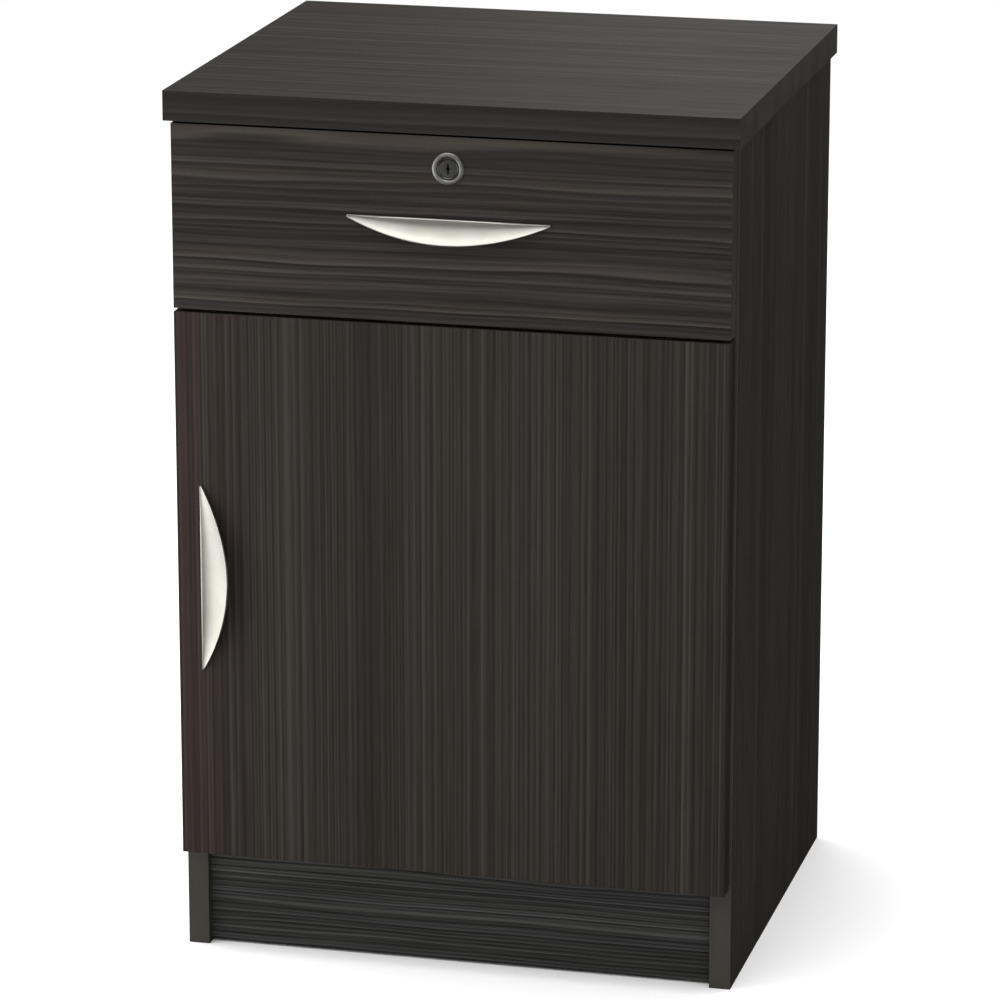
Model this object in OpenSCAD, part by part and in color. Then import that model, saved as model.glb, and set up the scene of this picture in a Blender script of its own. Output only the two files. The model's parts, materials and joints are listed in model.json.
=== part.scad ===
// Bedside cabinet: one lockable drawer on roller runners over a cupboard with one shelf.
// X runs across the cabinet, -Y is its front and Z is up. The origin is on the floor, at the
// middle of the cabinet's width and of its whole depth, handles included.

/* [Overall] */
// Width of the top panel
top_w = 480; // [420:1:600]
// Depth of the top panel
top_d = 425; // [400:1:540]
// Height from the floor to the top surface
height = 745; // [650:1:900]

/* [Boards] */
// Thickness of the top panel
top_t = 25; // [20:1:32]
// Thickness of the sides, base, rails, plinths, shelf and fronts
board_t = 18; // [15:1:22]
// Thickness of the back panel
back_t = 6; // [3:0.5:9]
// Thickness of the strip glued on each side panel's front edge
edging_t = 1; // [0.5:0.1:2]
// Overhang of the top past each side panel
top_side_lip = 4; // [0:0.5:15]
// Overhang of the top past the faces of the drawer and door
top_front_lip = 2; // [0:0.5:10]
// Overhang of the top past the back edges of the sides
top_back_lip = 8; // [0:0.5:20]
// Height of the plinths, up to the underside of the base
plinth_h = 90; // [60:1:130]
// Distance of the plinth behind the front edges of the sides
plinth_recess = 8; // [2:0.5:40]
// Air under the plinths, so that the cabinet stands on its sides
plinth_lift = 2; // [1:0.5:6]
// Depth of the rails from front to back
rail_d = 70; // [60:1:100]
// Distance of the front top rail behind the front edges of the sides
top_rail_setback = 5; // [4.5:0.5:12]
// Distance of the back panel ahead of the back edges of the sides
back_inset = 12; // [6:1:30]
// Depth of the groove that holds the back panel
back_groove = 7; // [3:0.5:9]

/* [Fronts] */
// Gap between the fronts and the carcass, filled by bumpers when closed
front_gap = 2; // [1.5:0.1:3]
// Distance of the fronts' side edges inside the outer faces of the sides
front_side_gap = 2; // [0.5:0.1:4]
// Gap between the drawer front and the top
front_top_gap = 2; // [1:0.1:5]
// Gap between the drawer front and the door
front_between = 3; // [2:0.1:5]
// Height of the drawer front
drawer_front_h = 155; // [140:1:200]
// Distance that the door reaches below the underside of the base
door_drop = 1; // [0:0.5:20]

/* [Drawer box] */
// Depth of the drawer box
box_d = 350; // [300:1:380]
// Height of the drawer box
box_h = 100; // [80:1:105]
// Thickness of the drawer box's sides, back and inner front
box_t = 12; // [11:0.5:16]
// Thickness of the drawer bottom
bottom_t = 6; // [3:0.5:8]
// Height of the drawer bottom above the lower edge of the box
bottom_rise = 10; // [9:0.5:20]
// Air between the drawer box and the rail below it
box_lift = 7; // [6.5:0.5:15]
// Gap on each side of the drawer box for its runners
runner_gap = 12.5; // [12.5:0.1:14]

/* [Runners] */
// Thickness of the runners' sheet steel
steel_t = 1.2; // [1:0.1:1.4]
// Diameter of the rollers
roller_d = 22; // [18:1:24]
// Width of the rollers
roller_w = 6; // [4:0.5:6.5]
// Diameter of the rollers' axles
axle_d = 5; // [4:0.5:6]
// Running clearance round an axle and over a roller
run_clear = 0.05; // [0.02:0.01:0.1]
// Distance of the rollers' axles from the ends of their runners
axle_inset = 16; // [14:1:25]

/* [Shelf] */
// Height of the shelf's underside above the base
shelf_rise = 213; // [100:1:260]
// Distance of the shelf behind the front edges of the sides
shelf_recess = 30; // [28:1:80]
// Diameter of the shelf pins
shelf_pin_d = 5; // [4:0.5:6]
// Number of holes in each row for the shelf pins
shelf_hole_count = 5; // [1:2:7]
// Spacing of the holes in each row
shelf_hole_pitch = 32; // [20:1:40]

/* [Handles] */
// Length of the drawer handle
drawer_handle_len = 170; // [130:1:200]
// Depth of the drawer handle from its straight edge to the middle of its lip
drawer_handle_h = 20; // [18:1:32]
// Length of the door handle
door_handle_len = 160; // [130:1:200]
// Depth of the door handle from its straight edge to the middle of its lip
door_handle_h = 27; // [18:1:32]
// Distance that the lip stands off the face
handle_reach = 13; // [12:0.5:24]
// Thickness of the handle's metal
handle_t = 1.8; // [1.5:0.1:2.5]
// Distance between a handle's two screws
handle_pitch = 96; // [64:32:96]
// Distance of the drawer handle's straight edge below the top of the drawer front
drawer_handle_drop = 68; // [60:1:80]
// Distance of the door handle's straight edge from the side of the door
door_handle_inset = 20; // [15:1:60]
// Height of the door handle's middle above the middle of the door
door_handle_lift = 8; // [-60:1:60]

/* [Lock] */
// Air between the lock's housing and the top rail above it
lock_rail_gap = 0.8; // [0.5:0.1:4]
// Diameter of the lock's round rim
lock_rim_d = 27; // [22:0.5:30]
// Diameter of the lock's housing
lock_body_d = 19; // [17:0.5:19.5]
// Diameter of the turning barrel
lock_barrel_d = 15; // [12:0.5:16]
// Length of the lock's cam from its axis to its tip
cam_reach = 18; // [16:0.5:20]

/* [Hinges] */
// Diameter of the hinge cups
cup_d = 35; // [34:0.5:36]
// Depth of the hinge cups
cup_depth = 12; // [11.5:0.5:12.5]
// Distance of a cup's centre from the edge of the door
cup_inset = 21.5; // [21:0.1:22.5]
// Distance of the hinges from the ends of the door
hinge_inset = 95; // [80:1:110]
// Diameter of the hinges' pins
hinge_pin_d = 3; // [2.5:0.1:3.5]

/* [Hidden] */

$fn = 48;

// Colours
laminate = [0.17, 0.155, 0.145];
edge_grey = [0.27, 0.26, 0.23];
plinth_grey = [0.16, 0.17, 0.175];
raw_board = [0.66, 0.56, 0.42];
white_steel = [0.86, 0.86, 0.84];
plain_steel = [0.62, 0.63, 0.65];
satin_metal = [0.74, 0.74, 0.72];
beech = [0.80, 0.66, 0.46];
nylon = [0.90, 0.90, 0.88];
clear_rubber = [0.80, 0.82, 0.82];

// Widths
carcass_w = top_w - 2 * top_side_lip;
inner_w = carcass_w - 2 * board_t;
inner_x = inner_w / 2;
front_w = carcass_w - 2 * front_side_gap;
box_w = inner_w - 2 * runner_gap;
box_x = box_w / 2;

// Depths, from the front of the fronts to the back of the top
front_y = (handle_reach + top_front_lip - top_d) / 2;
front_back_y = front_y + board_t;
side_y = front_back_y + front_gap;
top_back_y = front_y - top_front_lip + top_d;
side_back_y = top_back_y - top_back_lip;
back_y = side_back_y - back_inset - back_t;
plinth_y = side_y + plinth_recess;

// Heights
carcass_h = height - top_t;
drawer_top = carcass_h - front_top_gap;
drawer_base = drawer_top - drawer_front_h;
door_top = drawer_base - front_between;
door_base = plinth_h - door_drop;
door_h = door_top - door_base;
base_top = plinth_h + board_t;
divider_z = drawer_base - front_between / 2 - board_t / 2;
top_rail_z = carcass_h - board_t;
shelf_z = base_top + shelf_rise;

// Drawer box and runners
track_drop = 2.3;
track_head = 1.8;
runner_setback = 2;
flange_past_roller = 0.5;
groove_d = 5;
groove_play = 0.5;
box_z = divider_z + board_t + box_lift;
box_back_y = front_back_y + box_d;
track_z = box_z - steel_t - track_drop;
roller_z = track_z + roller_d / 2 + run_clear;
tread_z = roller_z + roller_d / 2 + run_clear;
runner_x = inner_x - steel_t;
drawer_runner_x = box_x + steel_t;
roller_mid_x = (runner_x + drawer_runner_x) / 2;
roller_x = roller_mid_x - roller_w / 2;
tread_x = roller_x + roller_w;
track_h = tread_z + steel_t + track_head - track_z;
runner_y = side_y + runner_setback;
front_axle_y = runner_y + axle_inset;
rear_axle_y = box_back_y - axle_inset + runner_setback;
axle_head_d = axle_d + 3;
axle_head_t = 0.6;
roller_side_gap = 0.3;
roller_end_x = roller_x + roller_w + roller_side_gap;
roller_web = 1;
roller_rim_t = 2.5;
roller_hub_t = 2;

// Screws: diameter, length, head diameter, head height
board_screw_d = 4;
board_screw_len = 30;
board_screw_head = 7.5;
back_screw_d = 3.5;
back_screw_len = 20;
back_screw_head = 7;
runner_screw_d = 3.5;
runner_screw_len = 12;
runner_screw_head = 6.6;
runner_screw_head_h = 0.8;
cabinet_screw_inset = 45;
drawer_screw_inset = 40;
drawer_screw_end = 60;
front_screw_len = 24;
front_screw_inset = 45;
front_screw_low = 26;
front_screw_high = 20;
handle_screw_d = 4;
handle_screw_head = 8;
handle_screw_head_h = 2.4;
cup_screw_d = 3.5;
cup_screw_len = 12;
cup_screw_head = 6.5;
cup_screw_head_h = 1.4;
plate_screw_d = 4;
plate_screw_len = 14;
plate_screw_head = 8;
plate_screw_head_h = 1.8;
cross_w = 0.8;

// Joints between the boards
cam_d = 15;
cam_t = 13;
cam_inset = 24;
cam_play = 0.1;
bolt_thread_d = 5;
bolt_d = 6;
bolt_in_side = 10;
dowel_d = 8;
dowel_len = 30;
dowel_in_side = 10;
dowel_play = 0.5;
base_cam_inset = 60;
rail_cam_inset = 48;
rail_dowel_inset = 21;
plinth_dowel_zs = [plinth_h * 0.3, plinth_h * 0.75];
bolt_head = 3;
bolt_short = 4;
panel_play = 0.5;
top_screw_x = 120;
back_screw_x = 140;

// Shelf pins
pin_in_side = 9;
pin_reach = 8;
pin_collar_d = 8;
pin_collar_t = 1.5;
shelf_side_gap = 2;
shelf_back_gap = 3;
pin_setback = 42;

// Lock
lock_z = top_rail_z - lock_body_d / 2 - lock_rail_gap;
lock_rim_t = 1.6;
lock_rear = 14;
lock_rear_y = front_back_y + lock_rear;
barrel_proud = 0.6;
barrel_play = 0.05;
barrel_end = 0.3;
key_slot = [1.4, 8.4];
key_guide = [2.8, 2];
cam_screw_d = 3;
cam_screw_grip = 3.5;
cam_screw_head = 8.6;
cam_screw_head_h = 1.8;
nut_af = 23;
nut_t = 3;
nut_play = 0.4;
cam_gap = 0.5;
lock_cam_t = 2;
lock_cam_w = 11;
cam_y = lock_rear_y + cam_gap;
tail_w = 7;
strike_t = 2;
slot_side = 1.2;
slot_left = cam_reach + 3;
slot_right = lock_cam_w / 2 + 2;
slot_top = lock_z + cam_reach + 1.5;
strike_w = 64;
strike_d = 18;
strike_setback = 3;
strike_screw_inset = 8;

// Handles
handle_tip_h = 2.2;
handle_steps = 28;
profile_steps = 6;
post_d = 7;
post_drop = 9;
post_short = 0.15;
thread_depth = 2.2;

// Hinges: the arm's pin is fixed to the cabinet and the cup's pin to the door
door_edge_x = front_w / 2;
cup_x = door_edge_x - cup_inset;
cup_wall = 1;
arm_pin_x = cup_x - 21;
arm_pin_y = side_y + 2.5;
cup_pin_x = door_edge_x - 13;
cup_pin_y = front_back_y - 3;
hinge_zs = [door_base + hinge_inset, door_top - hinge_inset];
link_h = 8;
link_r = 2.2;
link_eye_r = 3;
fork_r = 6.5;
pin_play = 0.05;
ear_t = 1.5;
ear_gap = 0.25;
plate_t = 5;
plate_y = side_y + 28;
plate_d = 30;
plate_h = 44;
plate_screw_z = 16;
arm_t = 7;
arm_d = 40;
arm_y = side_y + 20;
flange_t = 0.8;
flange_h = 58;
cup_screw_z = 24;
flange_x = cup_x - 20;
flange_w = 21;
cup_screw_x = cup_x - 9.5;

// Bumpers
bumper_d = 8;
bumper_t = front_gap - 0.2;
bumper_inset = 25;

// ---- Shared shapes ----

// Children made for the right-hand side, or mirrored to the left
module on_side(side) {
    mirror([side < 0 ? 1 : 0, 0, 0]) children();
}

// A board given by its low corner and its size
module board(corner, size) {
    translate(corner) cube(size);
}

// A round bar along X from x0, of length len
module bar_x(x0, y, z, d, len) {
    translate([x0, y, z]) rotate([0, 90, 0]) cylinder(d = d, h = len);
}

// A round bar along Y from y0, of length len
module bar_y(x, y0, z, d, len) {
    translate([x, y0, z]) rotate([-90, 0, 0]) cylinder(d = d, h = len);
}

// The cross recess of a screw head whose top is at z
module cross_recess(z, head, depth) {
    for (turn = [0, 90])
        rotate([0, 0, turn])
            translate([-head * 0.32, -cross_w / 2, z - depth])
                cube([head * 0.64, cross_w, depth + 1]);
}

// A screw along -Z whose round head stands on z = 0
module pan_screw(d, len, head, head_h) {
    difference() {
        union() {
            cylinder(d = head, h = head_h);
            translate([0, 0, 1 - len]) cylinder(d = d, h = len - 1);
            translate([0, 0, -len]) cylinder(d1 = d * 0.4, d2 = d, h = 1);
        }
        cross_recess(head_h, head, head_h * 0.6);
    }
}

// A screw along -Z whose sunk head ends at z = 0
module sunk_screw(d, len, head) {
    difference() {
        sunk_shape(d, len, head);
        cross_recess(0, head, 1.2);
    }
}

// The solid that a sunk screw takes out of a board
module sunk_shape(d, len, head) {
    translate([0, 0, -len]) cylinder(d = d, h = len);
    translate([0, 0, -head / 4]) cylinder(d1 = d, d2 = head, h = head / 4);
}

// ---- Places of the fasteners ----

// Three places over a length from a start, one at each end and one in the middle
function spread(start, len) = [for (i = [0 : 2]) start + i * len / 2];

// Cam fittings: distance along Y and the underside of the board that each one holds
cam_places = [
    [side_y + base_cam_inset, plinth_h],
    [back_y - base_cam_inset, plinth_h],
    [side_y + rail_cam_inset, divider_z],
    [side_y + rail_cam_inset, top_rail_z],
    [back_y - rail_cam_inset, top_rail_z]
];

// Wooden dowels: distance along Y and height of the axis
dowel_places = [
    [0, plinth_h + board_t / 2],
    [side_y + rail_dowel_inset, divider_z + board_t / 2],
    [side_y + rail_dowel_inset, top_rail_z + board_t / 2],
    [back_y - rail_dowel_inset, top_rail_z + board_t / 2],
    for (y = [plinth_y + board_t / 2, back_y - board_t / 2])
        for (z = plinth_dowel_zs) [y, z]
];

top_screw_places = [
    for (x = [-top_screw_x, top_screw_x])
        for (y = [side_y + rail_d / 2, back_y - rail_d / 2]) [x, y]
];

back_screw_places = [
    for (x = [-back_screw_x, 0, back_screw_x])
        for (z = [plinth_h / 2, plinth_h + board_t / 2, top_rail_z + board_t / 2]) [x, z]
];

shelf_y = side_y + shelf_recess;
shelf_d = back_y - shelf_back_gap - shelf_y;
pin_ys = [shelf_y + pin_setback, shelf_y + shelf_d - pin_setback];
pin_z = shelf_z - shelf_pin_d / 2;
cabinet_screw_ys = spread(runner_y + cabinet_screw_inset, box_d - 2 * cabinet_screw_inset);
drawer_screw_ys = spread(front_back_y + drawer_screw_inset, box_d - drawer_screw_inset - drawer_screw_end);
drawer_screw_z = box_z + bottom_rise / 2;
front_screw_x = box_x - box_t - front_screw_inset;
front_screw_zs = [box_z + front_screw_low, box_z + box_h - front_screw_high];
handle_z = drawer_top - drawer_handle_drop;
door_handle_x = door_handle_inset - front_w / 2;
door_handle_z = door_base + door_h / 2 + door_handle_lift;

// Bores for the cam bolts and dowels in the end of a board, for the right-hand side
module end_bores(z_low, z_high) {
    for (p = cam_places)
        if (p[1] >= z_low && p[1] < z_high) {
            bar_x(inner_x - cam_inset, p[0], p[1] + board_t / 2, bolt_d + 1, cam_inset + 1);
            translate([inner_x - cam_inset, p[0], p[1] - 1])
                cylinder(d = cam_d, h = cam_t + 1 + cam_play);
        }
    for (p = dowel_places)
        if (p[1] > z_low && p[1] < z_high)
            bar_x(inner_x - dowel_len + dowel_in_side - dowel_play, p[0], p[1], dowel_d, dowel_len);
}

// ---- Carcass ----

module top_panel() {
    color(laminate)
        difference() {
            board([-top_w / 2, front_y - top_front_lip, carcass_h], [top_w, top_d, top_t]);
            for (p = top_screw_places)
                translate([p[0], p[1], carcass_h - 1])
                    cylinder(d = board_screw_d, h = board_screw_len - board_t + 1);
        }
}

// The right-hand side panel, with the bores that both sides share
module side_board() {
    difference() {
        board([inner_x, side_y + edging_t, 0], [board_t, side_back_y - side_y - edging_t, carcass_h]);
        board([inner_x - 1, back_y, -1], [back_groove + 1, back_t, carcass_h + 2]);
        for (p = cam_places)
            bar_x(inner_x - 1, p[0], p[1] + board_t / 2, bolt_thread_d, bolt_in_side + 1);
        for (p = dowel_places)
            bar_x(inner_x - 1, p[0], p[1], dowel_d, dowel_in_side + 1 + dowel_play);
        for (y = pin_ys)
            for (i = [0 : shelf_hole_count - 1])
                bar_x(inner_x - 1, y, pin_z + (i - (shelf_hole_count - 1) / 2) * shelf_hole_pitch,
                      shelf_pin_d, pin_in_side + 1.5);
        for (y = cabinet_screw_ys)
            bar_x(inner_x - 1, y, roller_z, runner_screw_d, runner_screw_len - steel_t + 1);
    }
}

module side_panel_left() {
    color(laminate) on_side(-1) side_board();
}

module side_panel_right() {
    color(laminate)
        difference() {
            side_board();
            for (z = hinge_zs)
                for (dz = [-plate_screw_z, plate_screw_z])
                    bar_x(inner_x - 1, plate_y + plate_d / 2, z + dz, plate_screw_d,
                          plate_screw_len - plate_t + 1);
        }
}

module side_edgings() {
    color(edge_grey)
        for (side = [-1, 1])
            on_side(side) board([inner_x, side_y, 0], [board_t, edging_t, carcass_h]);
}

module base_panel() {
    color(laminate)
        difference() {
            board([-inner_x, side_y, plinth_h], [inner_w, back_y - side_y, board_t]);
            for (side = [-1, 1])
                on_side(side) end_bores(plinth_h, base_top);
            back_bores(plinth_h, base_top);
        }
}

// Bores for the screws that come through the back panel
module back_bores(z_low, z_high) {
    for (p = back_screw_places)
        if (p[1] > z_low && p[1] < z_high)
            bar_y(p[0], back_y - back_screw_len + back_t, p[1], back_screw_d, back_screw_len);
}

module divider_rail() {
    color(raw_board)
        difference() {
            board([-inner_x, side_y, divider_z], [inner_w, rail_d, board_t]);
            for (side = [-1, 1])
                on_side(side) end_bores(divider_z, divider_z + board_t);
        }
}

// Bores that let the top's screws through a rail, with sunk heads below
module top_screw_bores() {
    for (p = top_screw_places)
        translate([p[0], p[1], top_rail_z])
            rotate([180, 0, 0]) sunk_shape(board_screw_d, board_screw_len, board_screw_head);
}

// The slot that the lock's cam turns up into
module lock_slot(z_low, z_high) {
    board([-slot_left, cam_y - slot_side, z_low],
          [slot_left + slot_right, lock_cam_t + 2 * slot_side, z_high - z_low]);
}

strike_x = (slot_right - slot_left) / 2;
strike_y = cam_y + lock_cam_t / 2 - strike_d / 2 + strike_setback;
strike_screw_xs = [for (side = [-1, 1]) strike_x + side * (strike_w / 2 - strike_screw_inset)];

module top_rail_front() {
    color(raw_board)
        difference() {
            board([-inner_x, side_y + top_rail_setback, top_rail_z],
                  [inner_w, rail_d - top_rail_setback, board_t]);
            for (side = [-1, 1])
                on_side(side) end_bores(top_rail_z, carcass_h);
            top_screw_bores();
            lock_slot(top_rail_z - 1, slot_top);
            board([strike_x - strike_w / 2, strike_y, top_rail_z - 1], [strike_w, strike_d, strike_t + 1]);
            for (x = strike_screw_xs)
                translate([x, strike_y + strike_d / 2, top_rail_z])
                    cylinder(d = back_screw_d, h = runner_screw_len);
        }
}

module top_rail_back() {
    color(raw_board)
        difference() {
            board([-inner_x, back_y - rail_d, top_rail_z], [inner_w, rail_d, board_t]);
            for (side = [-1, 1])
                on_side(side) end_bores(top_rail_z, carcass_h);
            top_screw_bores();
            back_bores(top_rail_z, carcass_h);
        }
}

module back_panel() {
    reach = inner_x + back_groove - panel_play;
    color(laminate)
        difference() {
            board([-reach, back_y, plinth_lift], [2 * reach, back_t, carcass_h - plinth_lift]);
            for (p = back_screw_places)
                translate([p[0], back_y + back_t, p[1]])
                    rotate([-90, 0, 0]) sunk_shape(back_screw_d, back_screw_len, back_screw_head);
        }
}

// A plinth board whose front face is at y
module plinth_board(y) {
    difference() {
        board([-inner_x, y, plinth_lift], [inner_w, board_t, plinth_h - plinth_lift]);
        for (side = [-1, 1])
            on_side(side)
                for (z = plinth_dowel_zs)
                    bar_x(inner_x - dowel_len + dowel_in_side - dowel_play, y + board_t / 2, z,
                          dowel_d, dowel_len);
    }
}

module plinth() {
    color(plinth_grey) plinth_board(plinth_y);
}

module rear_plinth() {
    color(plinth_grey)
        difference() {
            plinth_board(back_y - board_t);
            back_bores(0, plinth_h);
        }
}

module shelf() {
    color(laminate)
        board([-inner_x + shelf_side_gap / 2, shelf_y, shelf_z],
              [inner_w - shelf_side_gap, shelf_d, board_t]);
}

// ---- Carcass fittings ----

module shelf_pins() {
    color(plain_steel)
        for (side = [-1, 1])
            for (y = pin_ys)
                on_side(side)
                    difference() {
                        union() {
                            bar_x(inner_x - pin_reach, y, pin_z, shelf_pin_d, pin_reach + pin_in_side);
                            bar_x(inner_x - pin_collar_t, y, pin_z, pin_collar_d, pin_collar_t);
                        }
                        board([inner_x - pin_collar_t - 1, y - pin_collar_d, shelf_z],
                              [pin_collar_t + 1, 2 * pin_collar_d, pin_collar_d]);
                    }
}

module cam_bolts() {
    neck = cam_inset - bolt_short;
    color(plain_steel)
        for (side = [-1, 1])
            for (p = cam_places)
                on_side(side) {
                    bar_x(inner_x, p[0], p[1] + board_t / 2, bolt_thread_d, bolt_in_side);
                    bar_x(inner_x - neck, p[0], p[1] + board_t / 2, bolt_d - 1, neck);
                    bar_x(inner_x - neck - bolt_head, p[0], p[1] + board_t / 2, bolt_d, bolt_head);
                }
}

module cam_discs() {
    slot = bolt_d + 1;
    color(plain_steel)
        for (side = [-1, 1])
            for (p = cam_places)
                on_side(side)
                    translate([inner_x - cam_inset, p[0], p[1]])
                        difference() {
                            cylinder(d = cam_d - 2 * cam_play, h = cam_t);
                            translate([-1, -slot / 2, board_t / 2 - slot / 2]) cube([cam_d, slot, slot]);
                            rotate([180, 0, 0]) cross_recess(0, cam_d * 0.8, 2);
                        }
}

module wood_dowels() {
    color(beech)
        for (side = [-1, 1])
            for (p = dowel_places)
                on_side(side)
                    bar_x(inner_x - dowel_len + dowel_in_side, p[0], p[1], dowel_d, dowel_len);
}

module top_screws() {
    color(plain_steel)
        for (p = top_screw_places)
            translate([p[0], p[1], top_rail_z])
                rotate([180, 0, 0]) sunk_screw(board_screw_d, board_screw_len, board_screw_head);
}

module back_screws() {
    color(plain_steel)
        for (p = back_screw_places)
            translate([p[0], back_y + back_t, p[1]])
                rotate([-90, 0, 0]) sunk_screw(back_screw_d, back_screw_len, back_screw_head);
}

module front_bumpers() {
    color(clear_rubber)
        for (x = [-1, 1])
            for (z = [drawer_base + bumper_inset, drawer_top - bumper_inset])
                bar_y(x * (inner_x + board_t / 2), side_y - bumper_t, z, bumper_d, bumper_t);
    color(clear_rubber)
        for (z = [door_base + bumper_inset, door_top - bumper_inset])
            bar_y(-inner_x - board_t / 2, side_y - bumper_t, z, bumper_d, bumper_t);
}

// ---- Runners ----

// The right-hand runner on the cabinet: a channel open to the drawer
module cabinet_runner() {
    flange = inner_x - roller_x + flange_past_roller;
    difference() {
        union() {
            board([runner_x, runner_y, track_z - steel_t], [steel_t, box_d, track_h + 2 * steel_t]);
            board([inner_x - flange, runner_y, track_z - steel_t], [flange, box_d, steel_t]);
            board([inner_x - flange, runner_y + 2 * axle_inset, track_z + track_h],
                  [flange, box_d - 2 * axle_inset, steel_t]);
        }
        for (y = cabinet_screw_ys)
            bar_x(runner_x - 1, y, roller_z, runner_screw_d, steel_t + 2);
        bar_x(runner_x - 1, front_axle_y, roller_z, axle_d, steel_t + 2);
    }
}

// The right-hand runner on the drawer: it hooks under the box and carries a tread outwards
module drawer_runner() {
    difference() {
        union() {
            board([box_x, front_back_y, box_z - steel_t], [steel_t, box_d, tread_z - box_z + 2 * steel_t]);
            board([box_x - box_t + 1, front_back_y, box_z - steel_t], [box_t, box_d, steel_t]);
            board([box_x, front_back_y, tread_z], [tread_x - box_x, box_d, steel_t]);
        }
        for (y = drawer_screw_ys)
            bar_x(box_x - 1, y, drawer_screw_z, runner_screw_d, steel_t + 2);
        bar_x(box_x - 1, rear_axle_y, roller_z, axle_d, steel_t + 2);
    }
}

module cabinet_runner_left() {
    color(white_steel) on_side(-1) cabinet_runner();
}

module cabinet_runner_right() {
    color(white_steel) on_side(1) cabinet_runner();
}

module drawer_runner_left() {
    color(white_steel) on_side(-1) drawer_runner();
}

module drawer_runner_right() {
    color(white_steel) on_side(1) drawer_runner();
}

module cabinet_runner_screws() {
    color(plain_steel)
        for (side = [-1, 1])
            for (y = cabinet_screw_ys)
                on_side(side)
                    translate([runner_x, y, roller_z])
                        rotate([0, -90, 0])
                            pan_screw(runner_screw_d, runner_screw_len,
                                      runner_screw_head, runner_screw_head_h);
}

module drawer_runner_screws() {
    color(plain_steel)
        for (side = [-1, 1])
            for (y = drawer_screw_ys)
                on_side(side)
                    translate([drawer_runner_x, y, drawer_screw_z])
                        rotate([0, 90, 0])
                            pan_screw(runner_screw_d, box_t, runner_screw_head, runner_screw_head_h);
}

// A roller with its rim, at the given distance along Y
module roller(y) {
    difference() {
        bar_x(roller_x, y, roller_z, roller_d, roller_w);
        bar_x(roller_x - 1, y, roller_z, axle_d + 2 * run_clear, roller_w + 2);
        for (x = [roller_x - roller_web, roller_x + roller_w - roller_web])
            difference() {
                bar_x(x, y, roller_z, roller_d - 2 * roller_rim_t, 2 * roller_web);
                bar_x(x - 1, y, roller_z, axle_d + 2 * roller_hub_t, 2 * roller_web + 2);
            }
    }
}

module cabinet_rollers() {
    color(nylon)
        for (side = [-1, 1])
            on_side(side) roller(front_axle_y);
}

module drawer_rollers() {
    color(nylon)
        for (side = [-1, 1])
            on_side(side) roller(rear_axle_y);
}

module cabinet_roller_axles() {
    head_x = roller_x - roller_side_gap;
    color(plain_steel)
        for (side = [-1, 1])
            on_side(side) {
                bar_x(head_x, front_axle_y, roller_z, axle_d, inner_x - head_x);
                bar_x(head_x - axle_head_t, front_axle_y, roller_z, axle_head_d, axle_head_t);
                bar_x(roller_end_x, front_axle_y, roller_z, axle_head_d, runner_x - roller_end_x);
            }
}

module drawer_roller_axles() {
    color(plain_steel)
        for (side = [-1, 1])
            on_side(side) {
                bar_x(box_x, rear_axle_y, roller_z, axle_d, roller_end_x - box_x);
                bar_x(roller_end_x, rear_axle_y, roller_z, axle_head_d, axle_head_t);
                bar_x(drawer_runner_x, rear_axle_y, roller_z, axle_head_d,
                      roller_x - roller_side_gap - drawer_runner_x);
            }
}

// ---- Drawer ----

module drawer_front() {
    color(laminate)
        difference() {
            board([-front_w / 2, front_y, drawer_base], [front_w, board_t, drawer_front_h]);
            bar_y(0, front_y - 1, lock_z, lock_body_d, board_t + 2);
            handle_bores(board_t + 2);
            for (x = [-front_screw_x, front_screw_x])
                for (z = front_screw_zs)
                    bar_y(x, front_back_y + box_t - front_screw_len, z, board_screw_d, front_screw_len);
        }
}

// The two bores for the drawer handle's screws, from just ahead of the face
module handle_bores(len) {
    for (x = [-handle_pitch / 2, handle_pitch / 2])
        bar_y(x, front_y - 1, handle_z - post_drop, handle_screw_d, len);
}

// The groove round the box that holds the bottom
module bottom_groove() {
    inset = box_t - groove_d;
    board([-box_x + inset, front_back_y + inset, box_z + bottom_rise],
          [box_w - 2 * inset, box_d - 2 * inset, bottom_t]);
}

module drawer_side() {
    difference() {
        board([box_x - box_t, front_back_y, box_z], [box_t, box_d, box_h]);
        bottom_groove();
        for (y = drawer_screw_ys)
            bar_x(box_x - box_t + steel_t, y, drawer_screw_z, runner_screw_d, box_t);
    }
}

module drawer_side_left() {
    color(white_steel) on_side(-1) drawer_side();
}

module drawer_side_right() {
    color(white_steel) on_side(1) drawer_side();
}

module drawer_inner_front() {
    color(white_steel)
        difference() {
            board([-box_x + box_t, front_back_y, box_z], [box_w - 2 * box_t, box_t, box_h]);
            bottom_groove();
            handle_bores(board_t + box_t + 2);
            bar_y(0, front_back_y - 1, lock_z, nut_af / cos(30) + 2 * nut_play, box_t + 2);
            for (x = [-front_screw_x, front_screw_x])
                for (z = front_screw_zs)
                    translate([x, front_back_y + box_t, z])
                        rotate([-90, 0, 0]) sunk_shape(board_screw_d, front_screw_len, board_screw_head);
        }
}

module drawer_back() {
    color(white_steel)
        difference() {
            board([-box_x + box_t, box_back_y - box_t, box_z], [box_w - 2 * box_t, box_t, box_h]);
            bottom_groove();
        }
}

module drawer_bottom() {
    inset = box_t - groove_d + groove_play;
    color(white_steel)
        board([-box_x + inset, front_back_y + inset, box_z + bottom_rise],
              [box_w - 2 * inset, box_d - 2 * inset, bottom_t]);
}

module drawer_front_screws() {
    color(plain_steel)
        for (x = [-front_screw_x, front_screw_x])
            for (z = front_screw_zs)
                translate([x, front_back_y + box_t, z])
                    rotate([-90, 0, 0]) sunk_screw(board_screw_d, front_screw_len, board_screw_head);
}

// ---- Handles ----

// Depth of the handle below its straight edge, at u from -1 at one tip to 1 at the other
function handle_depth(u, h) = handle_tip_h + (h - handle_tip_h) * (1 - u * u);

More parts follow.
